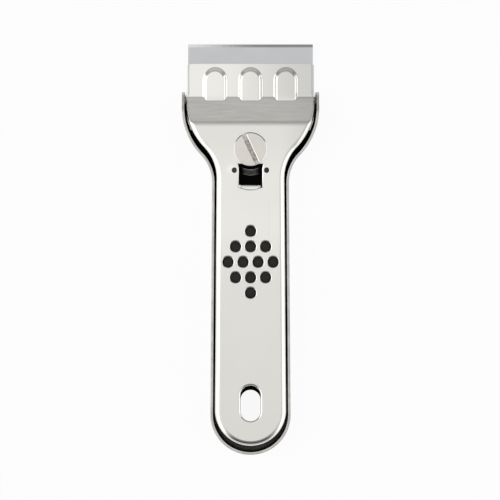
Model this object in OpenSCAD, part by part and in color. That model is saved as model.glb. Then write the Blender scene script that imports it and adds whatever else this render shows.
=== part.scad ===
// Razor blade scraper pressed from two nested sheet metal shells.
// It lies on its back: X is across the blade, +Y points at the cutting edge and Z = 0 is the table.
// The origin is the middle of the whole length and width, on the table.

/* [Handle] */
// Length from the cutting edge to the end of the handle
overall_l = 131.5; // [110:0.5:160]
// Width of the tray across the head
head_w = 44; // [42.6:0.2:50]
// Width of the tray at the narrow neck
neck_w = 24.6; // [22:0.2:28]
// Width of the tray at the end of the handle
tail_w = 25.7; // [23:0.1:30]
// Radius of the outward curve where the head draws in
flare_r = 21.7; // [16:0.1:26]
// Radius of the inward curve that leads into the neck
neck_r = 13; // [8:0.1:18]
// Thickness of the sheet that both shells are pressed from
sheet_t = 0.8; // [0.6:0.05:1]
// Height of the cover's flat top above the table
cover_h = 9; // [8:0.1:12]
// Height of the tray's rim above the table
rim_h = 7; // [5:0.1:7.6]
// Outer radius of the tray's bottom edge
tray_r = 1.6; // [1.2:0.05:2]
// Outer radius of the cover's top edge
cover_r = 1.8; // [1.2:0.05:2.2]
// Free space between the cover's skirt and the tray's wall
cover_gap = 0.6; // [0.4:0.05:1]
// How far the cover sits forward of the tray's middle, against the hook
cover_shift = 1.25; // [0.6:0.05:1.4]

/* [Blade] */
// Width of the blade
blade_w = 40; // [30:0.2:40.6]
// Length of the blade from its edge to its back
blade_l = 19.3; // [17.5:0.1:20.5]
// Thickness of the blade
blade_t = 0.3; // [0.2:0.02:0.5]
// Width of the ground bevel
bevel_l = 1.1; // [0.5:0.1:2]
// How far the blade stands out of the jaws
blade_reach = 6.3; // [4:0.1:8]

/* [Jaws] */
// Width of the tray's lower jaw
jaw_w = 40.9; // [40:0.1:41.6]
// Width of the cover's lip
lip_w = 39.2; // [36:0.1:40]
// Length of the flat lip
lip_l = 10.6; // [9.5:0.1:12]
// Length of the slope from the lip up to the top, seen from above
slope_l = 8.7; // [7:0.1:11]
// Outer radius of the bend at the top of the slope
bend_r = 3.7; // [2:0.1:5]
// Radius of the bend at the foot of the slope
foot_r = 0.6; // [0.3:0.1:1]
// How far the tray's side walls stop behind the edge of the lower jaw
wall_setback = 9.1; // [6:0.1:10]
// Height of the side walls' front ends
wall_end_h = 3.4; // [2.5:0.1:5]
// How far behind the slope's foot the sides begin to draw in
flare_setback = 3.6; // [2.5:0.1:6]

/* [Bumps] */
// Width of a raised bump at its base
bump_w = 8.3; // [6:0.1:9.5]
// Distance between the bumps' middles
bump_pitch = 11.35; // [10:0.05:12]
// Height of a bump above the lip
bump_h = 1.1; // [0.8:0.05:1.6]
// Width of a bump's rounded flank
bump_flank = 1.5; // [0.8:0.1:2.2]
// How far the bumps begin behind the lip's edge
bump_setback = 1.2; // [0.6:0.1:2.5]

/* [Screw] */
// How far the screw sits behind the top of the slope
screw_setback = 8.25; // [7:0.05:10]
// Diameter of the thread
screw_d = 5; // [4:0.1:6]
// Diameter of the head
head_d = 10.7; // [9.6:0.1:12]
// Height of the head
head_h = 1.8; // [1.4:0.1:2.5]
// Length of the screw below its head
shank_l = 7.6; // [6.5:0.1:8.4]
// Width of the coin slot
coin_w = 1.5; // [1:0.1:2]
// Length of the coin slot's deep middle
coin_l = 6.2; // [4:0.1:8]
// Turn of the coin slot away from the handle's line
coin_turn = 25; // [-90:1:90]
// Diameter of the washer under the head
washer_d = 8.8; // [8:0.1:9]
// Thickness of the washer
washer_t = 0.5; // [0.3:0.05:1]

/* [Boss and bush] */
// Diameter of the pressed boss at the tray's floor
boss_d = 16.4; // [15:0.1:17]
// Height that the boss lifts the floor
boss_h = 2.2; // [1.6:0.1:2.8]
// Diameter of the bush's barrel
barrel_d = 7.6; // [7:0.1:8]
// Diameter of the bush's flange
flange_d = 10.8; // [9.8:0.1:11.4]
// Thickness of the bush's flange
flange_t = 1.2; // [0.8:0.1:1.4]

/* [Hook and window] */
// Distance from the screw back to the hook
hook_setback = 12.5; // [11.5:0.1:14]
// Width of the hook's neck and tip
hook_w = 6.4; // [5:0.1:7]
// Width of the hook below the cover, across its shoulders
shoulder_w = 10; // [8.6:0.1:11]
// How far the hook's tip reaches over the cover
tip_reach = 0.65; // [0.4:0.05:1]
// Width of the window in the cover
window_w = 7.5; // [7.2:0.1:8.4]
// Distance from the screw back to the window's front edge
window_setback = 4.65; // [4.55:0.05:5.5]

/* [Punched holes] */
// Diameter of a punched hole
hole_d = 3.5; // [2:0.1:4]
// Distance between holes across the handle
hole_pitch = 4.8; // [4.4:0.1:5]
// Distance between rows of holes
row_pitch = 4.93; // [4.4:0.01:5.2]
// Distance from the screw back to the middle of the pattern
pattern_setback = 36; // [34:0.5:50]

/* [Hanging slot] */
// Width of the hanging slot
slot_w = 6.4; // [5:0.1:8]
// Length of the hanging slot
slot_l = 11; // [9:0.1:14]
// Metal between the slot and the end of the tray
slot_setback = 9.55; // [8:0.05:12]

/* [Hidden] */

$fn = 64;
over = 1;

// Steps along the curves of the outline and round the pressed edges
flare_steps = 12;
neck_steps = 9;
tail_steps = 16;
edge_steps = 6;
bend_steps = 6;

// Places along Y, from the cutting edge back
front_y = overall_l / 2;
rear_y = -overall_l / 2;
jaw_y = front_y - blade_reach;
foot_y = jaw_y - lip_l;
slope_y = foot_y - slope_l;
screw_y = slope_y - screw_setback;
hook_y = screw_y - hook_setback;
pattern_y = screw_y - pattern_setback;
wall_y = jaw_y - wall_setback;
flare_y = foot_y - flare_setback;
blade_back_y = front_y - blade_l;

// Heights of the stack of sheet, blade and sheet at the jaws
blade_z = sheet_t;
lip_under_z = sheet_t + blade_t;
lip_top_z = lip_under_z + sheet_t;
cover_under_z = cover_h - sheet_t;

// The tray's outline: a straight head, an outward curve, an inward curve, and a round end
tail_r = tail_w / 2;
tail_y = rear_y + tail_r;
flare_centre = [head_w / 2 - flare_r, flare_y];
curve_run = neck_w / 2 + neck_r - flare_centre.x;
flare_a = acos(curve_run / (flare_r + neck_r));
neck_centre = [neck_w / 2 + neck_r, flare_y - (flare_r + neck_r) * sin(flare_a)];
cover_inset = sheet_t + cover_gap;

// The slope between the lip and the top
slope_a = atan((cover_h - lip_top_z) / slope_l);
bend_y = slope_y - bend_r * tan(slope_a / 2);
lip_start_y = foot_y + foot_r * tan(slope_a / 2);

// The bumps run back until their tops are buried in the slope
bump_y = jaw_y - bump_setback - bump_w / 2;
bump_run = bump_y - foot_y + bump_h / tan(slope_a) + sheet_t / sin(slope_a);

// The cover rocks on the hook, so its skirt rises towards the rear by more than the rock takes
rock_a = 2;
rock_spare = 0.6;
cover_rear_y = rear_y + cover_inset + cover_shift;
skirt_rear_z = sheet_t + (hook_y - cover_rear_y) * tan(rock_a) + rock_spare;
skirt_a = atan((skirt_rear_z - lip_under_z) / (lip_start_y - cover_rear_y));

// Small sizes of the pressed details
jaw_corner_r = 0.8;
lip_corner_r = 0.5;
wall_corner_r = 1.3;
rim_fall_l = 7;
hole_roll = 0.35;
slot_roll = 0.6;
slot_collar_h = 1.4;
window_taper_l = 1.5;
window_taper_w = 0.4;
hook_gap = 0.07;
tip_gap = 0.15;
tip_bend_r = 0.25;
tip_end_r = 7;
lance_gap = 0.2;
shank_gap = 0.4;
pip_d = 1.7;
pip_h = 0.4;
pip_flank = 0.6;
pip_spread = 9.8;
pip_setback = 6.7;
stop_d = 2;
stop_h = 0.5;
stop_spread = 26;
stop_gap = 0.1;

// The bush, the washer and the screw
thread_gap = 0.05;
barrel_clear = 0.6;
collar_t = 0.5;
collar_d = barrel_d + 2 * collar_t;
washer_gap = 0.15;
head_chamfer = 0.25;
tip_chamfer = 0.5;
coin_shallow_h = 0.55;
coin_deep_h = 1.1;
boss_flank = 1.9;

// The rows of punched holes, counted from the screw
row_counts = [1, 3, 4, 3, 1];

// Points of an arc, ends included
function arc(centre, r, from_a, to_a, steps) =
    [for (i = [0:steps]) centre + r * [cos(from_a + (to_a - from_a) * i / steps),
                                       sin(from_a + (to_a - from_a) * i / steps)]];

// Right side of the outline, drawn in by inset, from the front to the middle of the round end
function right_side(inset, front) = concat(
    [[head_w / 2 - inset, front]],
    arc(flare_centre, flare_r - inset, 0, -flare_a, flare_steps),
    arc(neck_centre, neck_r + inset, 180 - flare_a, 180, neck_steps),
    arc([0, tail_y], tail_r - inset, 0, -90, tail_steps));

// The closed outline, counterclockwise from above
function outline(inset, front) =
    let (right = right_side(inset, front), count = len(right))
    concat([for (i = [0:count - 1]) [-right[i].x, right[i].y]],
           [for (i = [count - 2:-1:0]) right[i]]);

// Rounded edge of a pressed shell as [inset, height] steps, from the flat face to the wall
function edge_steps_of(r) =
    [for (i = [0:edge_steps]) r * [1 - sin(90 * i / edge_steps), 1 - cos(90 * i / edge_steps)]];

function lifted(points, shift_y, z) = [for (p = points) [p.x, p.y + shift_y, z]];

// A cosine flank from the base edge up to the flat, as [radius, height] points
function flank(base_r, width, height) =
    [for (i = [0:edge_steps]) [base_r - width * i / edge_steps,
                               height * (1 - cos(180 * i / edge_steps)) / 2]];

// The cover's top line in [y, z] at a depth below the outer face, from the flat to the lip
function nose_line(depth) = concat(
    arc([bend_y, cover_h - bend_r], bend_r - depth, 90, 90 - slope_a, bend_steps),
    arc([lip_start_y, lip_top_z + foot_r], foot_r + depth, 270 - slope_a, 270, bend_steps));

// Solid skin over a stack of mirrored rings with equal counts. Each end is closed by a flat cap,
// cut into strips that run from a point on the left to its twin on the right.
module ring_stack(rings) {
    n = len(rings[0]);
    m = len(rings);
    tail = (n - 1) / 2;
    polyhedron(
        points = [for (ring = rings) each ring],
        faces = concat(
            [for (i = [0:tail - 2]) [i, i + 1, n - 2 - i, n - 1 - i]],
            [[tail - 1, tail, tail + 1]],
            [for (j = [0:m - 2], i = [0:n - 1])
                [j * n + i, (j + 1) * n + i, j * n + (i + 1) % n]],
            [for (j = [0:m - 2], i = [0:n - 1])
                [(j + 1) * n + i, (j + 1) * n + (i + 1) % n, j * n + (i + 1) % n]],
            [for (i = [0:tail - 2]) [for (k = [n - 1 - i, n - 2 - i, i + 1, i]) (m - 1) * n + k]],
            [[for (k = [tail + 1, tail, tail - 1]) (m - 1) * n + k]]));
}

// Extrudes a [y, z] outline across the part
module across(width) {
    rotate([90, 0, 90])
        linear_extrude(width, center = true)
            children();
}

// Rectangle with round corners, centred across and starting at y = 0
module round_plate(width, length, r) {
    translate([-width / 2 + r, 0])
        square([width - 2 * r, length]);
    translate([-width / 2, r])
        square([width, length - 2 * r]);
    for (x = [r - width / 2, width / 2 - r], y = [r, length - r])
        translate([x, y])
            circle(r);
}

// Flat shape of a slot with round ends, centred
module slot_shape(width, length) {
    square([width, length - width], center = true);
    for (side = [-1, 1])
        translate([0, side * (length - width) / 2])
            circle(width / 2);
}

// Flared mouth that a rounded edge leaves, its top at z = 0
module roll_shape(inner_r, roll) {
    polygon(concat(
        [[0, -roll], [0, over], [inner_r + roll, over]],
        arc([inner_r + roll, -roll], roll, 90, 180, edge_steps)));
}

module rolled_hole(r, roll, depth) {
    rotate_extrude()
        roll_shape(r, roll);
    translate([0, 0, -depth - over])
        cylinder(h = depth + over, r = r);
}

module rolled_slot(width, length, roll) {
    run = length - width;
    for (side = [-1, 1])
        translate([0, side * run / 2, 0])
            rotate_extrude()
                roll_shape(width / 2, roll);
    rotate([90, 0, 0])
        linear_extrude(run, center = true)
            for (side = [0, 1])
                mirror([side, 0])
                    roll_shape(width / 2, roll);
}

// Pressed dimple below z = 0: a cup on top and its bulge underneath
module pip_cup() {
    rotate_extrude()
        polygon(concat([[0, over]], [[pip_d / 2, over]],
                       [for (p = flank(pip_d / 2, pip_flank, pip_h)) [p.x, -p.y]], [[0, -pip_h]]));
}

module pip_bulge() {
    translate([0, 0, -sheet_t])
        rotate_extrude()
            polygon(concat([[0, sheet_t / 2]], [[pip_d / 2, sheet_t / 2]],
                           [for (p = flank(pip_d / 2, pip_flank, pip_h)) [p.x, -p.y]], [[0, -pip_h]]));
}

// Raised stud with a cosine flank, standing on z = 0
module raised_round(base_r, width, height) {
    rotate_extrude()
        polygon(concat([[0, 0]], flank(base_r, width, height), [[0, height]]));
}

module hang_slot_place() {
    translate([0, rear_y + slot_setback + slot_l / 2, 0])
        children();
}

// Tray: floor with rounded edge, upright walls, lower jaw, boss, stops, hook and hanging slot
module tray_block(inset, floor_z, front, top) {
    edge = edge_steps_of(tray_r - inset);
    ring_stack(concat(
        [for (e = edge) lifted(outline(inset + e.x, front), 0, floor_z + e.y)],
        [lifted(outline(inset, front), 0, top)]));
}

module rim_cut() {
    across(head_w + 2 * over)
        polygon([[rear_y - over, rim_h], [wall_y - rim_fall_l, rim_h], [wall_y, wall_end_h],
                 [jaw_y, wall_end_h], [jaw_y, rim_h + 2 * over], [rear_y - over, rim_h + 2 * over]]);
}

module wall_corner_cut() {
    for (side = [0, 1])
        mirror([side, 0, 0])
            translate([head_w / 2 - wall_corner_r, wall_y - wall_corner_r, -over])
                linear_extrude(rim_h + 2 * over)
                    difference() {
                        square(wall_corner_r + over);
                        circle(wall_corner_r);
                    }
}

module boss() {
    top_r = boss_d / 2 - boss_flank;
    rise = flank(boss_d / 2, boss_flank, boss_h);
    rotate_extrude()
        polygon(concat([[boss_d / 2 + over, 0]], rise, [[barrel_d / 2, boss_h]],
                       [[barrel_d / 2, boss_h + sheet_t]],
                       [for (i = [edge_steps:-1:0]) rise[i] + [0, sheet_t]],
                       [[boss_d / 2 + over, sheet_t]]));
}

// The lanced tongue: up from the floor, shoulders under the cover, neck, and tip over the cover
module hook() {
    tip_z = cover_h + tip_gap;
    bend_z = tip_z - tip_bend_r;
    across(shoulder_w)
        polygon(concat(
            [[hook_y + tray_r + over, 0]],
            arc([hook_y + tray_r, tray_r], tray_r, 270, 180, bend_steps),
            [[hook_y, cover_under_z], [hook_y + sheet_t, cover_under_z]],
            arc([hook_y + tray_r, tray_r], tray_r - sheet_t, 180, 270, bend_steps),
            [[hook_y + tray_r + over, sheet_t]]));
    intersection() {
        across(hook_w)
            polygon(concat(
                [[hook_y + sheet_t, cover_under_z - over], [hook_y, cover_under_z - over]],
                arc([hook_y - tip_bend_r, bend_z], tip_bend_r, 0, 90, bend_steps),
                [[hook_y - tip_reach, tip_z], [hook_y - tip_reach, tip_z + sheet_t]],
                arc([hook_y - tip_bend_r, bend_z], tip_bend_r + sheet_t, 90, 0, bend_steps)));
        translate([0, hook_y - tip_reach + tip_end_r, 0])
            cylinder(h = tip_z + sheet_t + over, r = tip_end_r);
    }
}

// The hole that the tongue leaves in the floor: its own blank with a little play
module lance_hole() {
    wide_l = cover_under_z;
    narrow_l = wide_l + 2 * sheet_t + tip_reach;
    translate([0, hook_y + tray_r, -over])
        linear_extrude(sheet_t + 2 * over) {
            translate([-shoulder_w / 2 - lance_gap, -wide_l])
                square([shoulder_w + 2 * lance_gap, wide_l]);
            translate([-hook_w / 2 - lance_gap, -narrow_l])
                square([hook_w + 2 * lance_gap, narrow_l]);
        }
}

module stop_places() {
    for (side = [-1, 1])
        translate([side * stop_spread / 2, blade_back_y - stop_gap - stop_d / 2, 0])
            children();
}

module bottom_shell() {
    color([0.80, 0.80, 0.79])
        difference() {
            union() {
                difference() {
                    union() {
                        tray_block(0, 0, wall_y, rim_h);
                        translate([0, wall_y - sheet_t, 0])
                            linear_extrude(sheet_t)
                                round_plate(jaw_w, jaw_y - wall_y + sheet_t, jaw_corner_r);
                    }
                    tray_block(sheet_t, sheet_t, wall_y + over, rim_h + over);
                    rim_cut();
                    wall_corner_cut();
                    lance_hole();
                    translate([0, screw_y, -over])
                        cylinder(h = sheet_t + 2 * over, d = boss_d + over);
                }
                translate([0, screw_y, 0])
                    boss();
                hook();
                stop_places()
                    translate([0, 0, sheet_t])
                        cylinder(h = stop_h, d = stop_d);
            }
            stop_places()
                translate([0, 0, -over])
                    cylinder(h = stop_h + over, d = stop_d - sheet_t);
            hang_slot_place()
                translate([0, 0, -over])
                    linear_extrude(sheet_t + 2 * over)
                        slot_shape(slot_w, slot_l);
        }
}

// Cover: flat top with rounded edge and skirt, slope, lip with bumps, holes, window and slot
module cover_block(depth, front) {
    edge = edge_steps_of(cover_r - depth);
    inset = cover_inset + depth;
    last = len(edge) - 1;
    base = lifted(outline(inset, front - cover_shift), cover_shift, 0);
    ring_stack(concat([base], [for (i = [last:-1:0])
        lifted(outline(inset + edge[i].x, front - cover_shift), cover_shift,
               cover_h - depth - edge[i].y)]));
}

// Everything over the cover's nose, down to a depth below its outer face
module above_nose(depth) {
    across(head_w + 2 * over)
        polygon(concat([[bend_y, cover_h + over]], nose_line(depth),
                       [[front_y + over, lip_top_z - depth], [front_y + over, cover_h + over]]));
}

module bump_places() {
    for (i = [-1:1])
        translate([i * bump_pitch, bump_y, 0])
            children();
}

// One thumb-shaped bump: a round end and a straight run back to the slope
module bump_form(base_r, base_z) {
    side = flank(base_r, bump_flank, bump_h);
    translate([0, 0, base_z]) {
        raised_round(base_r, bump_flank, bump_h);
        rotate([90, 0, 0])
            linear_extrude(bump_run)
                polygon(concat(side, [for (i = [edge_steps:-1:0]) [-side[i].x, side[i].y]]));
    }
}

module bumps() {
    intersection() {
        bump_places()
            bump_form(bump_w / 2, lip_top_z);
        above_nose(sheet_t / 2);
    }
}

module bump_hollows() {
    bump_places()
        bump_form(bump_w / 2 - sheet_t / 2, lip_under_z);
}

module punched_holes() {
    rows = len(row_counts);
    for (row = [0:rows - 1], i = [0:row_counts[row] - 1])
        translate([(i - (row_counts[row] - 1) / 2) * hole_pitch,
                   pattern_y + ((rows - 1) / 2 - row) * row_pitch, cover_h])
            rolled_hole(hole_d / 2, hole_roll, sheet_t);
}

module window() {
    front = screw_y - window_setback;
    rear = hook_y - hook_gap;
    half = window_w / 2;
    wide = half + window_taper_w;
    translate([0, 0, cover_under_z - over])
        linear_extrude(sheet_t + 2 * over)
            polygon([[-wide, front], [-half, front - window_taper_l], [-half, rear],
                     [half, rear], [half, front - window_taper_l], [wide, front]]);
}

module pip_places() {
    for (side = [-1, 1])
        translate([side * pip_spread / 2, screw_y - pip_setback, cover_h])
            children();
}

module top_shell() {
    color([0.90, 0.90, 0.88])
        difference() {
            union() {
                difference() {
                    cover_block(0, lip_start_y);
                    above_nose(0);
                    difference() {
                        cover_block(sheet_t, lip_start_y + over);
                        above_nose(sheet_t);
                    }
                    translate([0, lip_start_y, lip_under_z])
                        rotate([-skirt_a, 0, 0])
                            translate([-head_w / 2, -2 * overall_l, -cover_h])
                                cube([head_w, 2 * overall_l + over, cover_h]);
                }
                translate([0, lip_start_y, lip_under_z])
                    linear_extrude(sheet_t)
                        round_plate(lip_w, jaw_y - lip_start_y, lip_corner_r);
                bumps();
                hang_slot_place()
                    translate([0, cover_shift, cover_under_z - slot_collar_h])
                        linear_extrude(sheet_t / 2 + slot_collar_h)
                            slot_shape(slot_w + 2 * sheet_t, slot_l + 2 * sheet_t);
                pip_places()
                    pip_bulge();
            }
            bump_hollows();
            punched_holes();
            window();
            translate([0, screw_y, cover_under_z - over])
                cylinder(h = sheet_t + 2 * over, r = screw_d / 2 + shank_gap);
            pip_places()
                pip_cup();
            hang_slot_place()
                translate([0, cover_shift, 0]) {
                    linear_extrude(cover_h + over)
                        slot_shape(slot_w, slot_l);
                    translate([0, 0, cover_h])
                        rolled_slot(slot_w, slot_l, slot_roll);
                }
        }
}

module blade() {
    color([0.62, 0.66, 0.69])
        translate([0, 0, blade_z])
            across(blade_w)
                polygon([[blade_back_y, 0], [front_y - bevel_l, 0], [front_y, blade_t / 2],
                         [front_y - bevel_l, blade_t], [blade_back_y, blade_t]]);
}

// Bush pressed up through the boss, its flange below and its rolled collar above the sheet
module threaded_bush() {
    bore_r = screw_d / 2 + thread_gap;
    barrel_r = barrel_d / 2;
    flange_r = flange_d / 2;
    seat_z = boss_h;
    shelf_z = boss_h + sheet_t;
    top_z = cover_under_z - barrel_clear;
    color([0.72, 0.62, 0.36])
        translate([0, screw_y, 0])
            rotate_extrude()
                polygon([[bore_r, seat_z - flange_t], [flange_r, seat_z - flange_t], [flange_r, seat_z],
                         [barrel_r, seat_z], [barrel_r, shelf_z], [collar_d / 2, shelf_z],
                         [collar_d / 2 - collar_t / 2, shelf_z + collar_t],
                         [barrel_r - collar_t, shelf_z + collar_t], [barrel_r - collar_t, top_z],
                         [bore_r, top_z]]);
}

module washer() {
    color([0.78, 0.78, 0.77])
        translate([0, screw_y, cover_h])
            difference() {
                cylinder(h = washer_t, d = washer_d);
                translate([0, 0, -over])
                    cylinder(h = washer_t + 2 * over, r = screw_d / 2 + washer_gap);
            }
}

module clamp_screw() {
    under_z = cover_h + washer_t;
    top_z = under_z + head_h;
    head_r = head_d / 2;
    shank_r = screw_d / 2;
    color([0.84, 0.82, 0.79])
        translate([0, screw_y, 0])
            difference() {
                rotate_extrude()
                    polygon([[0, under_z - shank_l], [shank_r - tip_chamfer, under_z - shank_l],
                             [shank_r, under_z - shank_l + tip_chamfer], [shank_r, under_z],
                             [head_r - head_chamfer, under_z], [head_r, under_z + head_chamfer],
                             [head_r, top_z - head_chamfer], [head_r - head_chamfer, top_z], [0, top_z]]);
                rotate([0, 0, coin_turn]) {
                    translate([-coin_w / 2, -head_d / 2 - over, top_z - coin_shallow_h])
                        cube([coin_w, head_d + 2 * over, coin_shallow_h + over]);
                    translate([-coin_w / 2, -coin_l / 2, top_z - coin_deep_h])
                        cube([coin_w, coin_l, coin_deep_h + over]);
                }
            }
}

bottom_shell();
top_shell();
blade();
clamp_screw();
washer();
threaded_bush();
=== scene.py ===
"""Razor blade scraper lying on its back, seen from straight above."""
from math import acos, asin, atan, cos, hypot, pi, radians, sin, sqrt, tan

import bmesh
import bpy
from bmesh.types import BMEdge, BMFace, BMVert
from mathutils import Matrix, Vector


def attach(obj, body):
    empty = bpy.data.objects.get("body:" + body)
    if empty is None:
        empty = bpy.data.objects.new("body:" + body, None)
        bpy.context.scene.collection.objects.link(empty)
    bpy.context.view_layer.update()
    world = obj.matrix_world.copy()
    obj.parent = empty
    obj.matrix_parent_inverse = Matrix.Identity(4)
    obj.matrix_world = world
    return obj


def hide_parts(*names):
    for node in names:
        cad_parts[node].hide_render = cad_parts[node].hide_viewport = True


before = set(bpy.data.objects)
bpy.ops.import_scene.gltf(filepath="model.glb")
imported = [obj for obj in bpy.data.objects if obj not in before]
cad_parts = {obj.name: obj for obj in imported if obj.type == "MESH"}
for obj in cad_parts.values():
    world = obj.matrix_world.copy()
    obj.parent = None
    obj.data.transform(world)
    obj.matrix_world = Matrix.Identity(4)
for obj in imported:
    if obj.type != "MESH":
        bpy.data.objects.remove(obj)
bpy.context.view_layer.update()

# Sizes in millimetres and angles in degrees, the same values as the part's source
OVERALL_L, HEAD_W, NECK_W, TAIL_W = 131.5, 44.0, 24.6, 25.7
FLARE_R, NECK_R, SHEET_T = 21.7, 13.0, 0.8
COVER_H, RIM_H, TRAY_R, COVER_R, COVER_GAP, COVER_SHIFT = 9.0, 7.0, 1.6, 1.8, 0.6, 1.25
BLADE_W, BLADE_L, BLADE_T, BEVEL_L, BLADE_REACH = 40.0, 19.3, 0.3, 1.1, 6.3
LIP_W, LIP_L, SLOPE_L, BEND_R, FOOT_R = 39.2, 10.6, 8.7, 3.7, 0.6
JAW_CORNER_R, LIP_CORNER_R, ROCK_A, ROCK_SPARE = 0.8, 0.5, 2.0, 0.6
WALL_SETBACK, WALL_END_H, RIM_FALL_L, FLARE_SETBACK = 9.1, 3.4, 7.0, 3.6
BUMP_W, BUMP_PITCH, BUMP_H, BUMP_FLANK, BUMP_SETBACK = 8.3, 11.35, 1.1, 1.5, 1.2
SCREW_SETBACK, SCREW_D, SHANK_L, SHANK_GAP, THREAD_GAP = 8.25, 5.0, 7.6, 0.4, 0.05
HEAD_D, HEAD_H, HEAD_CHAMFER = 10.7, 1.8, 0.25
COIN_W, COIN_L, COIN_TURN, COIN_SHALLOW, COIN_DEEP = 1.5, 6.2, 25.0, 0.55, 1.1
WASHER_D, WASHER_T, WASHER_GAP = 8.8, 0.5, 0.15
BOSS_D, BOSS_H, BOSS_FLANK = 16.4, 2.2, 1.9
BARREL_D, BARREL_CLEAR, COLLAR_T, FLANGE_D, FLANGE_T = 7.6, 0.6, 0.5, 10.8, 1.2
HOOK_SETBACK, HOOK_W, SHOULDER_W, TIP_REACH, TIP_GAP = 12.5, 6.4, 10.0, 0.65, 0.15
TIP_BEND_R, TIP_END_R, HOOK_GAP, LANCE_GAP = 0.25, 7.0, 0.07, 0.2
WINDOW_W, WINDOW_SETBACK, WINDOW_TAPER_L, WINDOW_TAPER_W = 7.5, 4.65, 1.5, 0.4
HOLE_D, HOLE_PITCH, ROW_PITCH, PATTERN_SETBACK, HOLE_ROLL = 3.5, 4.8, 4.93, 36.0, 0.35
ROW_COUNTS = (1, 3, 4, 3, 1)
SLOT_W, SLOT_L, SLOT_SETBACK, SLOT_ROLL, SLOT_COLLAR = 6.4, 11.0, 9.55, 0.6, 1.4
PIP_H, PIP_SETBACK = 0.4, 6.7
STOP_D, STOP_H, STOP_SPREAD, STOP_GAP = 2.0, 0.5, 26.0, 0.1

# Trim of the sheets that only the scene has. The window's turn is in radians, and how square the
# hook's tip is, a share of the way to a sharp bend
RING_W, BURR, LIP_BURR, SLOT_STRETCH, WALL_ROW_L = 0.03, 0.11, 0.18, 0.4, 1.0
WINDOW_ROLL, WINDOW_TURN = 0.36, 0.8
PIP_R, PIP_X, PIP_LEAD_W, PIP_LEAD_H = 0.9, 5.15, 0.05, 0.02
TIP_SWELL, TIP_SQUARE, TIP_CORNER_R = 0.35, 0.6, 0.15
LIP_EDGE_R, LEAST_EDGE_R, LIP_RUNOUT, BUMP_SPREAD, BUMP_BLEND = 0.75, 0.15, 0.8, 0.6, 0.2

# Trim of the blade: its ground steps, by their distance from the cutting edge and the share of
# the thickness left there, and its rear corners
GROUND_L, GROUND_SHARE, HONED_L, HONED_SHARE, EDGE_SHARE = 0.92, 0.857, 0.22, 0.3, 0.02
BLADE_CORNER_R = 0.5

# Trim of the screw, its thread, the washer and the bush. The coin slot's mouth and taper are
# shares of its width
COIN_CHAMFER, COIN_REACH, COIN_MOUTH, COIN_TAPER = 0.1, 0.9, 1.27, 0.3
CORE_DEPTH, SHANK_TIP_W, SHANK_TIP_H, PLAIN_L, RUNOUT_L = 0.38, 0.3, 0.4, 0.9, 1.2
THREAD_PITCH, THREAD_START, THREAD_TURNS, THREAD_CUTS = 0.8, 0.75, 6.5, 32
ROOT_DEPTH, ROOT_HALF, CREST_HALF = 0.42, 0.33, 0.05
WASHER_EASE, BUSH_EASE, SPIGOT_STEP = 0.08, 0.15, 0.5

# Form of the bush's spread collar: reach past the barrel and height above the boss
COLLAR_FORM = ((COLLAR_T, 0), (COLLAR_T - 0.08, 0.25), (COLLAR_T - 0.3, 0.47), (-0.3, 0.5),
               (-SPIGOT_STEP, 0.6))

# Places that follow from the sizes
FRONT_Y = OVERALL_L / 2
REAR_Y = -FRONT_Y
JAW_Y = FRONT_Y - BLADE_REACH
FOOT_Y = JAW_Y - LIP_L
SLOPE_Y = FOOT_Y - SLOPE_L
SCREW_Y = SLOPE_Y - SCREW_SETBACK
HOOK_Y = SCREW_Y - HOOK_SETBACK
PATTERN_Y = SCREW_Y - PATTERN_SETBACK
WALL_Y = JAW_Y - WALL_SETBACK
FLARE_Y = FOOT_Y - FLARE_SETBACK
BLADE_BACK_Y = FRONT_Y - BLADE_L
SLOT_Y = REAR_Y + SLOT_SETBACK + SLOT_L / 2
LIP_UNDER = SHEET_T + BLADE_T
LIP_TOP = LIP_UNDER + SHEET_T
COVER_UNDER = COVER_H - SHEET_T
HEAD_UNDER = COVER_H + WASHER_T
HEAD_TOP = HEAD_UNDER + HEAD_H
TAIL_R = TAIL_W / 2
TAIL_Y = REAR_Y + TAIL_R
FLARE_X = HEAD_W / 2 - FLARE_R
NECK_X = NECK_W / 2 + NECK_R
FLARE_A = acos((NECK_X - FLARE_X) / (FLARE_R + NECK_R))
NECK_Y = FLARE_Y - (FLARE_R + NECK_R) * sin(FLARE_A)
COVER_INSET = SHEET_T + COVER_GAP
SLOPE_A = atan((COVER_H - LIP_TOP) / SLOPE_L)
BEND_Y = SLOPE_Y - BEND_R * tan(SLOPE_A / 2)
LIP_START = FOOT_Y + FOOT_R * tan(SLOPE_A / 2)
BUMP_Y = JAW_Y - BUMP_SETBACK - BUMP_W / 2
COVER_REAR = REAR_Y + COVER_INSET + COVER_SHIFT
LANCE_Y = HOOK_Y + TRAY_R
TIP_BEND_Y = HOOK_Y - TIP_BEND_R
TIP_BEND_Z = COVER_H + TIP_GAP - TIP_BEND_R

MM = 0.001
TINY = 1e-4
UP = (0, 0, 1)
ACROSS = (1, 0, 0)
ALONG = (0, 1, 0)

# Sheet beyond the front of a skin, which is cut off once the edge is rounded
SPARE_L = 2

# Cuts across the cover's nose, rows on each stretch of it, and in millimetres the slope's rows and
# the stretch of finer rows down to its foot
FLAT_CUTS, BEND_ROWS, FINE_ROWS, LIP_ROWS, CORNER_ROWS = 195, 12, 22, 56, 4
SLOPE_ROW_L, FINE_L = 0.5, 2.6

# Finishes of a pressed shell: plated outside, dull inside painted dark as shade, cut edges, and the
# boss's flank with a painted glint
OUTSIDE, INSIDE, CUT, BOSS_GLINT = 0, 1, 2, 3

# Second finishes of the blade and the screw: the ground bevel and the bare coin slot
BEVEL, SLOT = 1, 1


# Working the metal

def of_kind(kind, parts):
    """The vertices, edges or faces among what an operator gives back."""
    return [part for part in parts if isinstance(part, kind)]


def lies_at(part, axis, place):
    """True where all corners of an edge or a face have this coordinate."""
    return all(abs(getattr(v.co, axis) - place) < TINY for v in part.verts)


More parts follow.
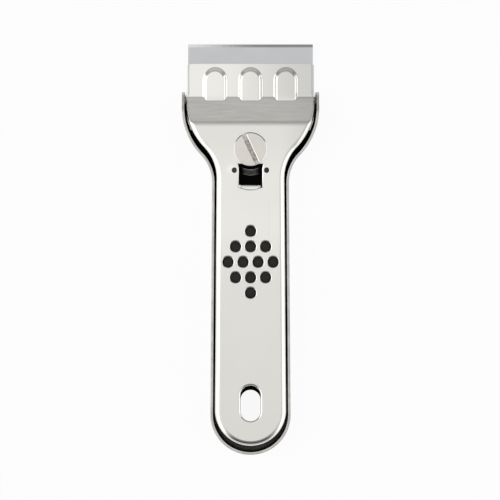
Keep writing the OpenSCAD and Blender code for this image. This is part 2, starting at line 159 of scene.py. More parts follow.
def face_up(face):
    face.normal_update()
    if face.normal.z < 0:
        face.normal_flip()
    return face


def slice_at(bm, place, across, trim=False):
    """Makes edges where a plane passes, and takes what lies beyond it away if asked to."""
    everything = bm.verts[:] + bm.edges[:] + bm.faces[:]
    bmesh.ops.bisect_plane(bm, geom=everything, plane_co=place, plane_no=across, clear_outer=trim)


def swing(bm, vert, centre, turn, steps):
    """Sweeps one vertex round an upright axis, leaving a chain of edges, and returns the far end."""
    made = bmesh.ops.spin(bm, geom=[vert], cent=centre, axis=UP, angle=turn, steps=steps)
    return of_kind(BMVert, made["geom_last"])[0]


def pull(bm, vert, place, steps=1):
    """Draws a straight chain of edges from a vertex to a place and returns the far end."""
    step = (Vector(place) - vert.co) / steps
    for _ in range(steps):
        vert = bmesh.ops.extrude_vert_indiv(bm, verts=[vert])["verts"][0]
        vert.co += step
    return vert


def closed_face(bm, edges):
    return face_up(bmesh.ops.contextual_create(bm, geom=edges)["faces"][0])


def shell_outline(bm, inset, front, shift):
    """The plan of a shell: straight head, outward curve, inward curve and round tail, mirrored."""
    start = bm.verts.new((HEAD_W / 2 - inset, front, 0))
    end = pull(bm, start, (HEAD_W / 2 - inset, FLARE_Y + shift, 0), steps=12)
    end = swing(bm, end, (FLARE_X, FLARE_Y + shift, 0), -FLARE_A, steps=32)
    end = swing(bm, end, (NECK_X, NECK_Y + shift, 0), FLARE_A, steps=22)
    end = pull(bm, end, (TAIL_R - inset, TAIL_Y + shift, 0), steps=8)
    swing(bm, end, (0, TAIL_Y + shift, 0), -pi / 2, steps=30)
    half = bm.verts[:] + bm.edges[:]
    bmesh.ops.mirror(bm, geom=half, matrix=Matrix(), merge_dist=0.001, axis="X")
    bm.edges.new([v for v in bm.verts if abs(v.co.y - front) < TINY])
    return closed_face(bm, bm.edges[:])


def pressed_skin(inset, edge_r, wall_h, front, shift):
    """One side of a pressed sheet at z = 0: a flat face, a rounded edge and a wall hanging down."""
    bm = bmesh.new()
    spare = front + SPARE_L
    face = shell_outline(bm, inset, spare, shift)
    rim = [e for e in face.edges if any(v.co.y < spare - TINY for v in e.verts)]
    walls = bmesh.ops.extrude_edge_only(bm, edges=rim)
    bmesh.ops.translate(bm, verts=of_kind(BMVert, walls["geom"]), vec=(0, 0, -wall_h))
    bmesh.ops.bevel(bm, geom=rim, offset=edge_r, offset_type="OFFSET", segments=8, profile=0.5,
                    affect="EDGES", material=-1, loop_slide=True, clamp_overlap=False)
    slice_at(bm, (0, front, 0), ALONG, trim=True)
    return bm


def open_flat(bm):
    """Takes the big flat face away and keeps its edges, ready to be filled again round openings."""
    flat = max(bm.faces, key=lambda f: f.calc_area())
    bmesh.ops.delete(bm, geom=[flat], context="FACES_ONLY")


def mesh_from(bm, name):
    mesh = bpy.data.meshes.new(name)
    bm.to_mesh(mesh)
    bm.free()
    return mesh


def coat(faces, finish):
    for face in faces:
        face.material_index = finish


def join(bm, other, finish):
    """Adds another skin, all in one finish."""
    coat(other.faces, finish)
    mesh = mesh_from(other, "part")
    bm.from_mesh(mesh)
    bpy.data.meshes.remove(mesh)


def fill_level(bm, z, finish):
    """Fills the plane at z between its outer edge and all openings, with a narrow ring along each
    so that the flat stays flat in the shading."""
    edges = [e for e in bm.edges if len(e.link_faces) < 2 and lies_at(e, "z", z)]
    made = bmesh.ops.triangle_fill(bm, use_beauty=True, edges=edges, normal=UP)
    faces = of_kind(BMFace, made["geom"])
    coat(faces, finish)
    bmesh.ops.inset_region(bm, faces=faces, thickness=RING_W, use_even_offset=True, use_boundary=True)


def round_face(bm, radius, x, y, z, segments=48):
    made = bmesh.ops.create_circle(bm, cap_ends=True, segments=segments, radius=radius,
                                   matrix=Matrix.Translation((x, y, z)))
    return face_up(made["verts"][0].link_faces[0])


def slot_face(bm, width, length, y, z):
    """A level face with two straight sides and round ends."""
    run = (length - width) / 2
    start = bm.verts.new((width / 2, y - run, z))
    end = pull(bm, start, (width / 2, y + run, z))
    end = swing(bm, end, (0, y + run, z), pi, steps=24)
    end = pull(bm, end, (-width / 2, y - run, z))
    end = swing(bm, end, (0, y - run, z), pi, steps=24)
    chain = [e for e in bm.edges if not e.link_faces and abs(e.verts[0].co.z - z) < TINY
             and hypot(e.verts[0].co.x, e.verts[0].co.y - y) < length]
    verts = dict.fromkeys(v for e in chain for v in e.verts)
    bmesh.ops.remove_doubles(bm, verts=list(verts), dist=0.01)
    return closed_face(bm, [e for e in chain if e.is_valid])


def plan_face(bm, points, z):
    """A level face with straight sides from corner to corner."""
    return face_up(bm.faces.new([bm.verts.new((x, y, z)) for x, y in points]))


def step_in(bm, face, width, rise):
    """Makes a face smaller by a step along its edge, and lifts it."""
    bmesh.ops.inset_individual(bm, faces=[face], thickness=width, depth=rise, use_even_offset=True)


def roll_in(bm, face, roll, steps=5, turn=pi / 2):
    """Turns the edge of a face down in a quarter round or less, as a punch draws it."""
    for i in range(steps):
        here, after = turn * i / steps, turn * (i + 1) / steps
        step_in(bm, face, roll * (sin(after) - sin(here)), roll * (cos(after) - cos(here)))


def punch(bm, face, z):
    """Drives a face straight down to a level and takes it out."""
    made = bmesh.ops.extrude_discrete_faces(bm, faces=[face])["faces"]
    bmesh.ops.translate(bm, verts=made[0].verts[:], vec=(0, 0, z - made[0].verts[0].co.z))
    bmesh.ops.delete(bm, geom=made, context="FACES_ONLY")


def dimple(bm, face, flank_w, height, steps=6):
    """Lifts or sinks the middle of a face on a cosine flank."""
    for i in range(steps):
        rise = (cos(pi * i / steps) - cos(pi * (i + 1) / steps)) / 2
        step_in(bm, face, flank_w / steps, height * rise)


def flank(d, width):
    """0 outside an edge, 1 past its rounded flank."""
    return (1 - cos(pi * min(max(d / width, 0), 1))) / 2


def lathe(bm, profile, steps=72):
    """Turns a profile of radius and height about the screw's axis."""
    verts = [bm.verts.new((r, SCREW_Y, z)) for r, z in profile]
    edges = [bm.edges.new(pair) for pair in zip(verts, verts[1:])]
    bmesh.ops.spin(bm, geom=verts + edges, cent=(0, SCREW_Y, 0), axis=UP, angle=2 * pi,
                   steps=steps, use_merge=True)


def close_walls(bm, burr, finish):
    """Joins the two skins of a sheet along their open edges and breaks the sharp corners."""
    rims = [e for e in bm.edges if e.is_boundary]
    lowest = min(v.co.z for v in bm.verts)
    coat(bmesh.ops.bridge_loops(bm, edges=rims)["faces"], finish)
    bmesh.ops.recalc_face_normals(bm, faces=bm.faces[:])
    eased = bmesh.ops.bevel(bm, geom=rims, offset=burr, segments=3, profile=0.5, affect="EDGES",
                            material=-1, loop_slide=False, clamp_overlap=True)
    coat(eased["faces"], finish)
    for v in bm.verts:
        v.co.z = max(v.co.z, lowest)


def shade(bm, sharp):
    """Smooth faces, parted at corners sharper than an angle and round the cut edges."""
    for face in bm.faces:
        face.smooth = True
    for edge in bm.edges:
        finishes = {f.material_index for f in edge.link_faces}
        round_cut = CUT in finishes and len(finishes) > 1
        edge.smooth = edge.calc_face_angle(pi) < radians(sharp) and not round_cut


def new_object(name, data):
    made = bpy.data.objects.new(name, data)
    bpy.context.scene.collection.objects.link(made)
    return made


def piece(name, bm, body, nodes, materials, sharp=50):
    """Makes the finished object in metres, rides it on its body and gives it its finish."""
    bmesh.ops.remove_doubles(bm, verts=bm.verts[:], dist=0.0005)
    bmesh.ops.recalc_face_normals(bm, faces=bm.faces[:])
    bmesh.ops.scale(bm, vec=(MM, MM, MM), verts=bm.verts[:])
    shade(bm, sharp)
    made = new_object(name, mesh_from(bm, name))
    for material in materials:
        made.data.materials.append(material)
    if nodes:
        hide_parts(*nodes)
    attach(made, body)
    return made


# Cover

def cover_half(y, depth):
    """Half width of the cover's nose and the lean of its side, at a place along it."""
    r = FLARE_R - COVER_INSET - depth
    back = max(FLARE_Y + COVER_SHIFT - y, 0)
    return FLARE_X + sqrt(r * r - back * back), asin(back / r)


def nose_height(y, depth):
    """The cover's top line over the bend, the slope, its foot and the lip."""
    bend, foot = BEND_R - depth, FOOT_R + depth
    if y <= BEND_Y:
        return COVER_H - depth
    if y < BEND_Y + bend * sin(SLOPE_A):
        return COVER_H - BEND_R + sqrt(bend ** 2 - (y - BEND_Y) ** 2)
    if y < LIP_START - foot * sin(SLOPE_A):
        end = BEND_Y + bend * sin(SLOPE_A)
        return COVER_H - BEND_R + bend * cos(SLOPE_A) - (y - end) * tan(SLOPE_A)
    if y < LIP_START:
        return LIP_TOP + FOOT_R - sqrt(foot ** 2 - (y - LIP_START) ** 2)
    return LIP_TOP - depth


def bump_rise(x, y, depth):
    """Height of the three bumps above the lip. Their flanks run out wider towards the blade."""
    nearest = min(abs(x - i * BUMP_PITCH) for i in (-1, 0, 1))
    away = hypot(nearest, max(y - BUMP_Y, 0))
    ahead = max(y - BUMP_Y, 0) / away if away else 0
    spread = BUMP_SPREAD * ahead ** 2
    return BUMP_H * flank(BUMP_W / 2 + spread - depth / 2 - away, BUMP_FLANK + spread)


def soft_lift(over):
    """How far a bump lifts the sheet that it stands over, with a soft start."""
    if over <= 0:
        return 0
    if over < BUMP_BLEND:
        return over * over / (2 * BUMP_BLEND)
    return over - BUMP_BLEND / 2


def nose_point(kind, share, y, depth, edge_r):
    """Place of a point of the nose: kind flat, edge or skirt, and its share across that part."""
    half, lean = cover_half(y, depth)
    along = (y - BEND_Y) / (LIP_START - BEND_Y)
    r = max(edge_r + along * (LIP_EDGE_R + depth / 4 - depth - edge_r), LEAST_EDGE_R)
    side = 1 if share > 0 else -1
    top = nose_height(y, depth)
    if kind == "skirt":
        return side * half, y, skirt_bottom(y)
    if kind == "edge":
        turn = abs(share)
        x = side * (half - r / cos(lean) * (1 - sin(turn)))
        return x, y, max(top - r * (1 - cos(turn)), LIP_UNDER)
    wide = half - r / cos(lean)
    if y > LIP_START:
        wide = LIP_W / 2 + (wide - LIP_W / 2) * flank(LIP_START + LIP_RUNOUT - y, LIP_RUNOUT)
        corner = max(y - (JAW_Y - LIP_CORNER_R), 0)
        wide -= LIP_CORNER_R - sqrt(LIP_CORNER_R ** 2 - corner ** 2)
    x = share * wide
    return x, y, top + soft_lift(LIP_TOP - depth + bump_rise(x, y, depth) - top)


def skirt_bottom(y):
    """The skirt's lower edge rises towards the rear so that the cover can rock on the hook."""
    rear = SHEET_T + (HOOK_Y - COVER_REAR) * tan(radians(ROCK_A)) + ROCK_SPARE
    return LIP_UNDER + (LIP_START - y) * (rear - LIP_UNDER) / (LIP_START - COVER_REAR)


def nose_rows():
    """Places along Y of the rows, close together where the sheet bends."""
    bend = [BEND_Y + BEND_R * sin(SLOPE_A * i / BEND_ROWS) for i in range(1, BEND_ROWS + 1)]
    slope_rows = int((FOOT_Y - FINE_L - bend[-1]) / SLOPE_ROW_L)
    slope = [bend[-1] + SLOPE_ROW_L * i for i in range(1, slope_rows)]
    fine = [slope[-1] + (LIP_START - slope[-1]) * i / FINE_ROWS for i in range(1, FINE_ROWS + 1)]
    round_y = JAW_Y - LIP_CORNER_R
    lip = [LIP_START + (round_y - LIP_START) * i / LIP_ROWS for i in range(1, LIP_ROWS + 1)]
    corner = [round_y + LIP_CORNER_R * sin(pi / 2 * i / CORNER_ROWS) for i in range(1, CORNER_ROWS + 1)]
    return bend + slope + fine + lip + corner


def nose_parts(row, top, edge_r):
    """What each vertex of the first row belongs to, and its share across that part."""
    verts = dict.fromkeys(v for e in row for v in e.verts)
    wide = max(v.co.x for v in verts if abs(v.co.z - top) < TINY)
    part = {}
    for v in verts:
        side = 1 if v.co.x > 0 else -1
        if abs(v.co.z - top) < TINY:
            part[v] = ("flat", v.co.x / wide)
        elif v.co.z < top - edge_r - TINY:
            part[v] = ("skirt", side)
        else:
            part[v] = ("edge", side * acos(1 - (top - v.co.z) / edge_r))
    return part


def grow_nose(bm, depth, edge_r):
    """Draws the front edge of the cover's skin forward, row by row, over the slope and the lip."""
    top = COVER_H - depth
    flat = [e for e in bm.edges if lies_at(e, "y", BEND_Y) and lies_at(e, "z", top)]
    bmesh.ops.subdivide_edges(bm, edges=flat, cuts=FLAT_CUTS)
    row = [e for e in bm.edges if lies_at(e, "y", BEND_Y)]
    part = nose_parts(row, top, edge_r)
    for y in nose_rows():
        if y > LIP_START + TINY:
            row = [e for e in row if all(part[v][0] == "flat" for v in e.verts)]
        made = bmesh.ops.extrude_edge_only(bm, edges=row)["geom"]
        last, part = part, {}
        for v in of_kind(BMVert, made):
            part[v] = next(last[w] for w in (e.other_vert(v) for e in v.link_edges) if w in last)
        row = [e for e in of_kind(BMEdge, made) if e.verts[0] in part and e.verts[1] in part]
        for v, (kind, share) in part.items():
            v.co = nose_point(kind, share, y, depth, edge_r)


def cover_skin(depth):
    """The cover's outer skin, or the inner one a sheet's thickness below it."""
    edge_r = COVER_R - depth
    bm = pressed_skin(COVER_INSET + depth, edge_r, COVER_H, BEND_Y, COVER_SHIFT)
    lowest = min(v.co.z for v in bm.verts)
    lower = [v for v in bm.verts if v.co.z < lowest + TINY]
    bmesh.ops.translate(bm, verts=bm.verts[:], vec=(0, 0, COVER_H - depth))
    for v in lower:
        v.co.z = skirt_bottom(v.co.y)
    grow_nose(bm, depth, edge_r)
    open_flat(bm)
    return bm


def punch_holes(bm):
    """The diamond of holes in the handle, and the hole that the screw passes through."""
    rows = len(ROW_COUNTS)
    for row, count in enumerate(ROW_COUNTS):
        for i in range(count):
            x = (i - (count - 1) / 2) * HOLE_PITCH
            y = PATTERN_Y + ((rows - 1) / 2 - row) * ROW_PITCH
            hole = round_face(bm, HOLE_D / 2 + HOLE_ROLL, x, y, COVER_H)
            roll_in(bm, hole, HOLE_ROLL)
            punch(bm, hole, COVER_UNDER)
    punch(bm, round_face(bm, SCREW_D / 2 + SHANK_GAP, 0, SCREW_Y, COVER_H), COVER_UNDER)


def press_pips(bm):
    """The two small cups beside the window, which stand out on the underside."""
    for side in (-1, 1):
        x, y = side * PIP_X, SCREW_Y - PIP_SETBACK
        cup = round_face(bm, PIP_R, x, y, COVER_H, 32)
        step_in(bm, cup, PIP_LEAD_W, -PIP_LEAD_H)
        old = set(bm.faces)
        dimple(bm, cup, PIP_R / 2, PIP_LEAD_H - PIP_H)
        # The cup's faces on top take the dark inside finish as painted shade
        coat((set(bm.faces) - old) | {cup}, INSIDE)
        dimple(bm, round_face(bm, PIP_R, x, y, COVER_UNDER, 32), PIP_R / 2, -PIP_H)


def cut_window(bm):
    """The window that the hook stands in, wider at its front, with its sides rolled down."""
    front, rear, roll = SCREW_Y - WINDOW_SETBACK, HOOK_Y - HOOK_GAP, WINDOW_ROLL
    taper = front - WINDOW_TAPER_L
    near, far = WINDOW_W / 2 + roll, WINDOW_W / 2 + WINDOW_TAPER_W + roll
    window = plan_face(bm, [(-far, front + roll), (-near, taper), (-near, rear), (near, rear),
                            (near, taper), (far, front + roll)], COVER_H)
    roll_in(bm, window, roll / sin(WINDOW_TURN), turn=WINDOW_TURN)
    punch(bm, window, COVER_UNDER)


def draw_slot(bm):
    """The hanging slot, whose edge is drawn down into a collar."""
    y, length = SLOT_Y + COVER_SHIFT + SLOT_STRETCH / 2, SLOT_L + SLOT_STRETCH
    foot = COVER_UNDER - SLOT_COLLAR
    slot = slot_face(bm, SLOT_W + 2 * SLOT_ROLL, length + 2 * SLOT_ROLL, y, COVER_H)
    roll_in(bm, slot, SLOT_ROLL, steps=7)
    punch(bm, slot, foot)
    collar = slot_face(bm, SLOT_W + 2 * SHEET_T, length + 2 * SHEET_T, y, COVER_UNDER)
    punch(bm, collar, foot)
    fill_level(bm, foot, OUTSIDE)


def build_cover(materials):
    """The cover's two skins with all openings, closed by its cut walls."""
    bm = cover_skin(0)
    join(bm, cover_skin(SHEET_T), INSIDE)
    punch_holes(bm)
    press_pips(bm)
    cut_window(bm)
    draw_slot(bm)
    fill_level(bm, COVER_H, OUTSIDE)
    fill_level(bm, COVER_UNDER, INSIDE)
    close_walls(bm, LIP_BURR, OUTSIDE)
    piece("pressed_cover", bm, "cover", ["top_shell"], materials)


# Tray

def rim_height(y):
    """The wall's top line, which falls towards the blade."""
    return WALL_END_H + (RIM_H - WALL_END_H) * flank(WALL_Y - y, RIM_FALL_L)


def tray_skin(depth):
    """The tray's floor and walls, the floor open and drawn out into the lower jaw."""
    bm = pressed_skin(depth, TRAY_R - depth, RIM_H, WALL_Y, 0)
    lowest = min(v.co.z for v in bm.verts)
    for v in bm.verts:
        at_rim = v.co.z < lowest + TINY
        v.co.z = rim_height(v.co.y) if at_rim else depth - v.co.z
    open_flat(bm)
    line = next(e for e in bm.edges if not e.link_faces)
    left, right = sorted(line.verts, key=lambda v: v.co.x)
    bm.edges.remove(line)
    wide, corner = right.co.x, JAW_CORNER_R
    end = pull(bm, right, (wide, JAW_Y - corner, depth))
    end = swing(bm, end, (wide - corner, JAW_Y - corner, depth), pi / 2, steps=6)
    end = pull(bm, end, (corner - wide, JAW_Y, depth))
    end = swing(bm, end, (corner - wide, JAW_Y - corner, depth), pi / 2, steps=6)
    pull(bm, end, left.co)
    bmesh.ops.remove_doubles(bm, verts=bm.verts[:], dist=0.005)
    return bm


def press_boss(bm):
    """The round boss in the floor, both its sides, with the hole that the bush is pressed into."""
    boss, rim, cuts = [], BOSS_D / 2, 10
    for z, order in ((SHEET_T, 1), (0, -1)):
        rise = [(rim - BOSS_FLANK * i / cuts, z + BOSS_H * flank(i, cuts)) for i in range(cuts + 1)]
        rise.append((BARREL_D / 2, z + BOSS_H))
        boss += rise[::order]
    lathe(bm, boss)
    # Finishes on the boss: its top the dark inside finish as painted shade, its flank the one with the
    # painted glint
    for face in bm.faces:
        middle = face.calc_center_median()
        reach = hypot(middle.x, middle.y - SCREW_Y)
        if reach < rim and middle.z > SHEET_T:
            face.material_index = INSIDE if reach < rim - BOSS_FLANK else BOSS_GLINT


def cut_tongue(bm):
    """The hole in the floor that the hook's flat form leaves, from its shoulders back to its tip."""
    wide, neck, cuts = SHOULDER_W / 2 + LANCE_GAP, HOOK_W / 2 + LANCE_GAP, 8
    waist = LANCE_Y - COVER_UNDER
    back = waist - 2 * SHEET_T - TIP_REACH
    tongue = [SHOULDER_W / 2] + [HOOK_W * (0.5 - i / cuts) for i in range(cuts + 1)] + [-SHOULDER_W / 2]
    hole = plan_face(bm, [(wide, waist), (wide, LANCE_Y)] + [(x, LANCE_Y) for x in tongue]
                     + [(-wide, LANCE_Y), (-wide, waist), (-neck, waist), (-neck, back),
                        (neck, back), (neck, waist)], SHEET_T)
    punch(bm, hole, 0)


def press_stops(bm):
    """The two blade stops, raised from the floor."""
    for side in (-1, 1):
        x, y = side * STOP_SPREAD / 2, BLADE_BACK_Y - STOP_GAP - STOP_D / 2
        dimple(bm, round_face(bm, STOP_D / 2, x, y, SHEET_T, 32), STOP_D / 5, STOP_H)
        dimple(bm, round_face(bm, STOP_D / 2 - SHEET_T / 2, x, y, 0, 32), STOP_D / 5, STOP_H)


def region(faces):
    """Faces with their corners and edges, as the extruding operators take them."""
    verts = dict.fromkeys(v for f in faces for v in f.verts)
    edges = dict.fromkeys(e for f in faces for e in f.edges)
    return [*verts, *edges, *faces]


def shape_tip(bm, tip):
    """Rounds the end of the hook's tip and makes its bend squarer and thicker."""
    for v in dict.fromkeys(v for f in tip for v in f.verts):
        v.co.y = HOOK_Y - TIP_REACH + TIP_END_R - sqrt(TIP_END_R ** 2 - v.co.x ** 2)
    outer, middle_r = set(), TIP_BEND_R + SHEET_T / 2
    for v in bm.verts:
        back, rise = v.co.y - TIP_BEND_Y, v.co.z - TIP_BEND_Z
        reach = hypot(back, rise)
        if rise > -TINY and reach > middle_r:
            outer.add(v)
            if back > 0 and rise > 0:
                squarer = 1 + TIP_SQUARE * (reach / max(back, rise) - 1)
                v.co.y += back * (squarer - 1)
                v.co.z += rise * (squarer - 1)
        on_hook = v.co.z > COVER_UNDER - TINY and abs(v.co.x) < HOOK_W / 2 + TINY
        if on_hook and back > 0 and (v in outer or back > middle_r):
            v.co.y += TIP_SWELL * back / (TIP_BEND_R + SHEET_T)
    bm.normal_update()
    corners = [e for e in bm.edges if set(e.verts) <= outer and e.calc_face_angle() > radians(60)]
    bmesh.ops.bevel(bm, geom=corners, offset=TIP_CORNER_R, segments=3, profile=0.5, affect="EDGES",
                    material=-1, clamp_overlap=True)


def raise_hook(bm):
    """Bends the hook up from the front of the hole that it was cut from, to its tip."""
    faces = [f for f in bm.faces if lies_at(f, "y", LANCE_Y) and min(v.co.z for v in f.verts) < TINY
             and max(abs(v.co.x) for v in f.verts) < SHOULDER_W / 2 + TINY]
    bent = bmesh.ops.spin(bm, geom=region(faces), cent=(0, LANCE_Y, TRAY_R), axis=ACROSS,
                          angle=-pi / 2, steps=10)
    faces = of_kind(BMFace, bent["geom_last"])
    for level in (COVER_UNDER, TIP_BEND_Z):
        made = bmesh.ops.extrude_face_region(bm, geom=region(faces))["geom"]
        for v in of_kind(BMVert, made):
            v.co.z = level
        faces = [f for f in of_kind(BMFace, made)
                 if max(abs(v.co.x) for v in f.verts) < HOOK_W / 2 + TINY]
    tip = bmesh.ops.spin(bm, geom=region(faces), cent=(0, TIP_BEND_Y, TIP_BEND_Z), axis=ACROSS,
                         angle=pi / 2, steps=7)
    shape_tip(bm, of_kind(BMFace, tip["geom_last"]))


def plate_tray(bm):
    """Plates the inside of the walls, the jaw and the hook's tip, and gives its right shoulder the dark
    inside finish as painted shade.
    """
    for face in bm.faces:
        middle = face.calc_center_median()
        wall = middle.z > TRAY_R and (middle.y < 0 or abs(middle.x) > BOSS_D / 2)
        reached = wall or middle.y > SLOPE_Y or middle.z > COVER_UNDER + TINY
        # Painted shade: the right shoulder takes the dark inside finish
        if abs(middle.z - COVER_UNDER) < TINY and middle.x > HOOK_W / 2:
            face.material_index = INSIDE
        elif face.material_index == INSIDE and reached:
            face.material_index = OUTSIDE


def build_tray(materials):
    """The tray's two skins, closed by its cut walls, and the hook bent up from its floor."""
    bm = tray_skin(0)
    join(bm, tray_skin(SHEET_T), INSIDE)
    press_boss(bm)
    cut_tongue(bm)
    punch(bm, slot_face(bm, SLOT_W, SLOT_L, SLOT_Y, SHEET_T), 0)
    press_stops(bm)
    fill_level(bm, SHEET_T, INSIDE)
    fill_level(bm, 0, OUTSIDE)
    close_walls(bm, BURR, CUT)
    raise_hook(bm)
    slice_at(bm, (0, WALL_Y - WALL_ROW_L, 0), ALONG)
    plate_tray(bm)
    piece("pressed_tray", bm, "tray", ["bottom_shell"], materials)


# Blade, screw, washer and bush

def build_blade(materials):
    """A strip with a bevel ground in steps down to the cutting edge, and eased rear corners."""
    bm = bmesh.new()
    half, back = BLADE_W / 2, BLADE_BACK_Y
    plan = plan_face(bm, [(-half, back), (half, back), (half, FRONT_Y), (-half, FRONT_Y)], SHEET_T)
    made = bmesh.ops.extrude_face_region(bm, geom=[plan])["geom"]
    bmesh.ops.translate(bm, verts=of_kind(BMVert, made), vec=(0, 0, BLADE_T))
    for width in (BEVEL_L, GROUND_L, HONED_L):
        slice_at(bm, (0, FRONT_Y - width, 0), ALONG)
    middle = SHEET_T + BLADE_T / 2
    shares = {0: EDGE_SHARE, HONED_L: HONED_SHARE, GROUND_L: GROUND_SHARE}
    for v in bm.verts:
        v.co.z = middle + (v.co.z - middle) * shares.get(round(FRONT_Y - v.co.y, 2), 1)
    corners = [e for e in bm.edges if lies_at(e, "y", BLADE_BACK_Y)
               and abs(e.verts[0].co.x - e.verts[1].co.x) < TINY]
    bmesh.ops.bevel(bm, geom=corners, offset=BLADE_CORNER_R, segments=5, profile=0.5,
                    affect="EDGES", material=-1)
    bm.normal_update()
    for face in bm.faces:
        ground = face.calc_center_median().y > FRONT_Y - GROUND_L
        if ground and abs(face.normal.z) > 0.5:
            face.material_index = BEVEL
    piece("ground_blade", bm, "blade", ["blade"], materials, sharp=3)


def screw_profile():
    """Radius and height from the shank's tip up to the middle of the flat head."""
    shank, core, head = SCREW_D / 2, SCREW_D / 2 - CORE_DEPTH, HEAD_D / 2
    tip, under, top, c = HEAD_UNDER - SHANK_L, HEAD_UNDER, HEAD_TOP, HEAD_CHAMFER
    return [(0, tip), (core - SHANK_TIP_W, tip), (core, tip + SHANK_TIP_H), (core, under - RUNOUT_L),
            (shank, under - PLAIN_L), (shank, under), (head - c, under), (head, under + c),
            (head, top - c), (head - c, top), (0, top)]


def coin_cutter():
    """The coin slot's form: shallow from rim to rim, with a deeper pocket in the middle."""
    bm = bmesh.new()
    room, reach = 2.0, HEAD_D / 2 + 1
    low, high, floor, pocket = -COIN_L / 2 - COIN_REACH, COIN_L / 2, -COIN_SHALLOW, -COIN_DEEP
    side = [(-reach, room), (-reach, floor), (low, floor), (low, pocket), (high, pocket), (high, floor),
            (reach, floor), (reach, room)]
    plan = bm.faces.new([bm.verts.new((-COIN_W / 2, y, z)) for y, z in side])
    made = bmesh.ops.extrude_face_region(bm, geom=[plan] + plan.edges[:] + plan.verts[:],
                                         use_keep_orig=True)
    bmesh.ops.translate(bm, verts=of_kind(BMVert, made["geom"]), vec=(COIN_W, 0, 0))
    for level in (0, -COIN_CHAMFER):
        slice_at(bm, (0, 0, level), UP)
    for v in bm.verts:
        narrow = 1 - COIN_TAPER * (-v.co.z - COIN_CHAMFER) / COIN_DEEP
        v.co.x *= COIN_MOUTH if v.co.z > -TINY else narrow
    bmesh.ops.recalc_face_normals(bm, faces=bm.faces[:])
    bmesh.ops.rotate(bm, verts=bm.verts[:], matrix=Matrix.Rotation(radians(COIN_TURN), 3, "Z"))
    bmesh.ops.translate(bm, verts=bm.verts[:], vec=(0, SCREW_Y, HEAD_TOP))
    bmesh.ops.scale(bm, vec=(MM, MM, MM), verts=bm.verts[:])
    return new_object("coin_cutter", mesh_from(bm, "coin_cutter"))


def build_screw(materials):
    """The turned screw, with its coin slot cut out and finished bare."""
    bm = bmesh.new()
    lathe(bm, screw_profile(), steps=96)
    screw = piece("coin_screw", bm, "screw", ["clamp_screw"], materials)
    tool = coin_cutter()
    cut = screw.modifiers.new("cut", "BOOLEAN")
    cut.operation, cut.solver, cut.object = "DIFFERENCE", "EXACT", tool
    settled = screw.evaluated_get(bpy.context.evaluated_depsgraph_get())
    mesh = bpy.data.meshes.new_from_object(settled)
    screw.modifiers.remove(cut)
    screw.data = mesh
    bpy.data.objects.remove(tool)
    bm = bmesh.new()
    bm.from_mesh(mesh)
    bmesh.ops.dissolve_limit(bm, angle_limit=radians(0.5), verts=bm.verts[:], edges=bm.edges[:])
    turn = radians(COIN_TURN)
    lowest, highest = (HEAD_TOP - 1.01 * COIN_DEEP) * MM, (HEAD_TOP - COIN_CHAMFER - TINY) * MM
    for face in bm.faces:
        middle = face.calc_center_median()
        across = middle.x * cos(turn) + (middle.y - SCREW_Y * MM) * sin(turn)
        if lowest < middle.z < highest and abs(across) < COIN_W / 2 * MM:
            face.material_index = SLOT
    shade(bm, sharp=14)
    bm.to_mesh(mesh)
    bm.free()


def build_thread(materials):
    """A ridge of trapezoid section wound round the shank."""
    bm = bmesh.new()
    crest, root = SCREW_D / 2, SCREW_D / 2 - ROOT_DEPTH
    low = HEAD_UNDER - SHANK_L + THREAD_START
    section = [(root, -ROOT_HALF), (crest, -CREST_HALF), (crest, CREST_HALF), (root, ROOT_HALF)]
    ridge = bm.faces.new([bm.verts.new((r, SCREW_Y, low + z)) for r, z in section])
    bmesh.ops.spin(bm, geom=region([ridge]), cent=(0, SCREW_Y, 0), axis=UP,
                   dvec=(0, 0, THREAD_PITCH / THREAD_CUTS), angle=2 * pi * THREAD_TURNS,
                   steps=int(THREAD_TURNS * THREAD_CUTS))
    piece("screw_thread", bm, "screw", [], materials, sharp=30)


def build_washer(materials):
    bm = bmesh.new()
    rim, hole, c = WASHER_D / 2, SCREW_D / 2 + WASHER_GAP, WASHER_EASE
    low, high = COVER_H, COVER_H + WASHER_T
    lathe(bm, [(hole, low + c), (hole + c, low), (rim - c, low), (rim, low + c), (rim, high - c),
               (rim - c, high), (hole + c, high), (hole, high - c), (hole, low + c)])
    piece("plain_washer", bm, "washer", ["washer"], materials, sharp=40)


def build_bush(materials):
    """A flanged bush, its collar spread over the boss and a plain spigot above it."""
    bm = bmesh.new()
    bore, barrel, flange, c = SCREW_D / 2 + THREAD_GAP, BARREL_D / 2, FLANGE_D / 2, BUSH_EASE
    foot, seat, shelf, top = BOSS_H - FLANGE_T, BOSS_H, BOSS_H + SHEET_T, COVER_UNDER - BARREL_CLEAR
    spread = [(barrel + reach, shelf + rise) for reach, rise in COLLAR_FORM]
    spigot = barrel - SPIGOT_STEP
    lathe(bm, [(bore + c, foot), (flange - c, foot), (flange, foot + c), (flange, seat), (barrel, seat),
               (barrel, shelf), *spread, (spigot, top - c), (spigot - c, top), (bore + c, top),
               (bore, top - c), (bore, foot + c), (bore + c, foot)])
    piece("clamp_bush", bm, "tray", ["threaded_bush"], materials, sharp=40)


# Finishes

# Sockets of a Mix node that mixes colours, by number because their names repeat
MIX_AMOUNT, MIX_FIRST, MIX_SECOND, MIX_RESULT = 0, 6, 7, 2

# Zones of the sheet's finishes and of its painted light and shade along Y, in metres: where each one
# fades in and where it fades out
SLOT_ZONE = (-0.053, -0.051), (-0.043, -0.041)
HOLES_ZONE = (-0.02, -0.017), (0.0075, 0.0095)
SHEEN_ZONE = (-0.014, 0.008), (0.022, 0.036)
SLOPE_ZONE = (0.0395, 0.0405), (0.0475, 0.049)

# Fades in metres, first along Y and then across X
LIP_FADE, UNDER_HEAD_SHADE_FADE, SHADED_FADE = (0.047, 0.05), (0.008, 0.014), (0.02, 0.035)
LIP_SHADE_SIDE, SHADED_SIDE, BEVEL_REFLECTION_SIDE = (-0.012, 0.02), (0.009, 0.019), (-0.026, 0.009)
SLOT_SIDE, HOLES_SIDE, GLINT_SIDE = (0.005, 0.007), (0.0095, 0.011), (0.0015, 0.003)
